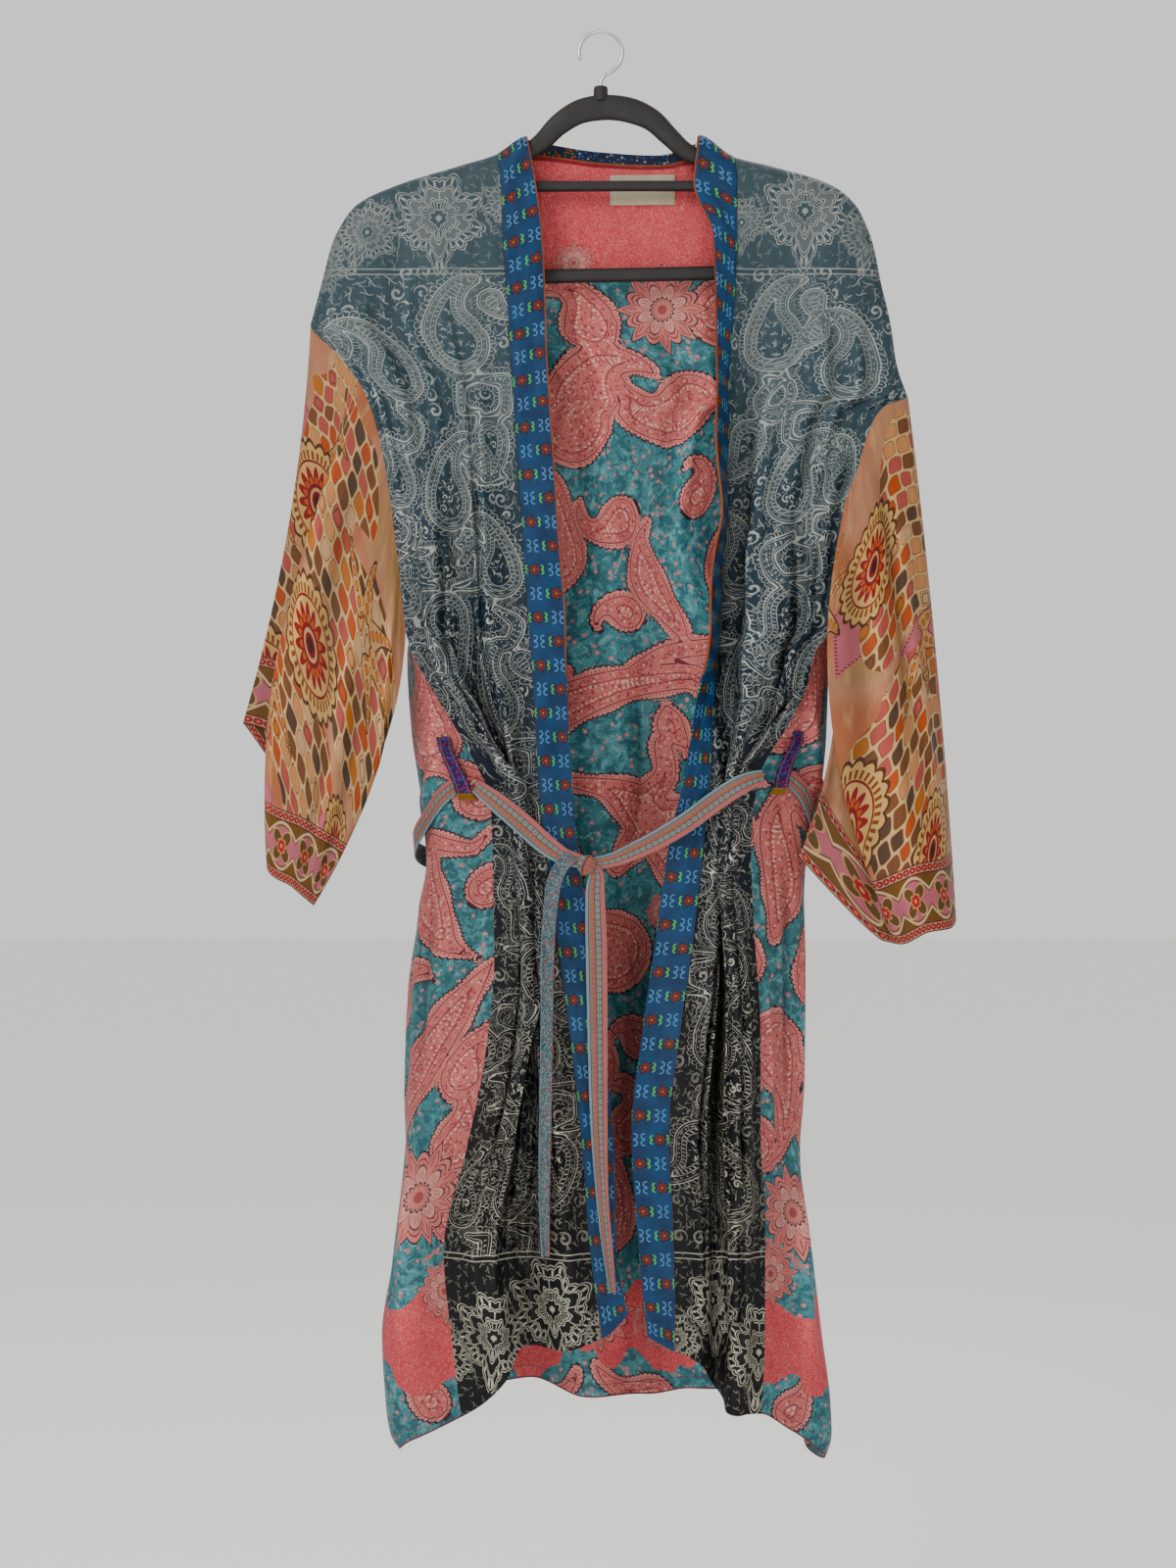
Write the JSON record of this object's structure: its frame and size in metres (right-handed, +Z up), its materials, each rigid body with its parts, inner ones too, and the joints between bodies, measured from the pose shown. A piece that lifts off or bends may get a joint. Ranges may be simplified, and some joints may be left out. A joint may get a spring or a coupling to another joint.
{
  "type": "kimono jacket on a clothes hanger",
  "caption": "Open-front kimono jacket of printed silk with contrast bands and a tied cloth belt, hung on a moulded plastic clothes hanger.",
  "frame": {"origin": "inside top of the hanger's hook, where it rests on a rail", "axes": "+Z up, +X to the viewer's right as the open front faces the viewer, +Y from the front towards the back"},
  "size_m": [0.6209, 0.1424, 1.2415],
  "materials": {
    "back_silk": "teal and pink paisley print, soft sheen",
    "front_silk": "pale line paisley on a ground that fades from light teal to near black",
    "sleeve_silk": "peach print of tiles, rosettes and leaves with a pink border at the cuff",
    "band_silk": "blue print with small flowers and scrolls",
    "neck_band_silk": "dark patterned lining of the band",
    "label_cloth": "plain cream tape",
    "belt_silk": "coral, teal and grey printed strip with a light blue reverse",
    "loop_silk": "purple with small specks",
    "hanger_plastic": "near black, matte",
    "hook_steel": "plain bright wire"
  },
  "bodies": {
    "root": {"back": "back_silk", "front_left": "front_silk", "front_right": "front_silk", "sleeve_left": "sleeve_silk", "sleeve_right": "sleeve_silk", "band_left": "band_silk", "band_right": "band_silk", "band_neck": "neck_band_silk", "neck_label": "label_cloth", "belt_left": "belt_silk", "belt_right": "belt_silk", "belt_back": "belt_silk", "belt_knot": "belt_silk", "belt_tail_long": "belt_silk", "belt_tail_short": "belt_silk", "belt_loop_left": "loop_silk", "belt_loop_right": "loop_silk", "hanger_body": "hanger_plastic", "hanger_hook": "hook_steel"}
  },
  "joints": []
}
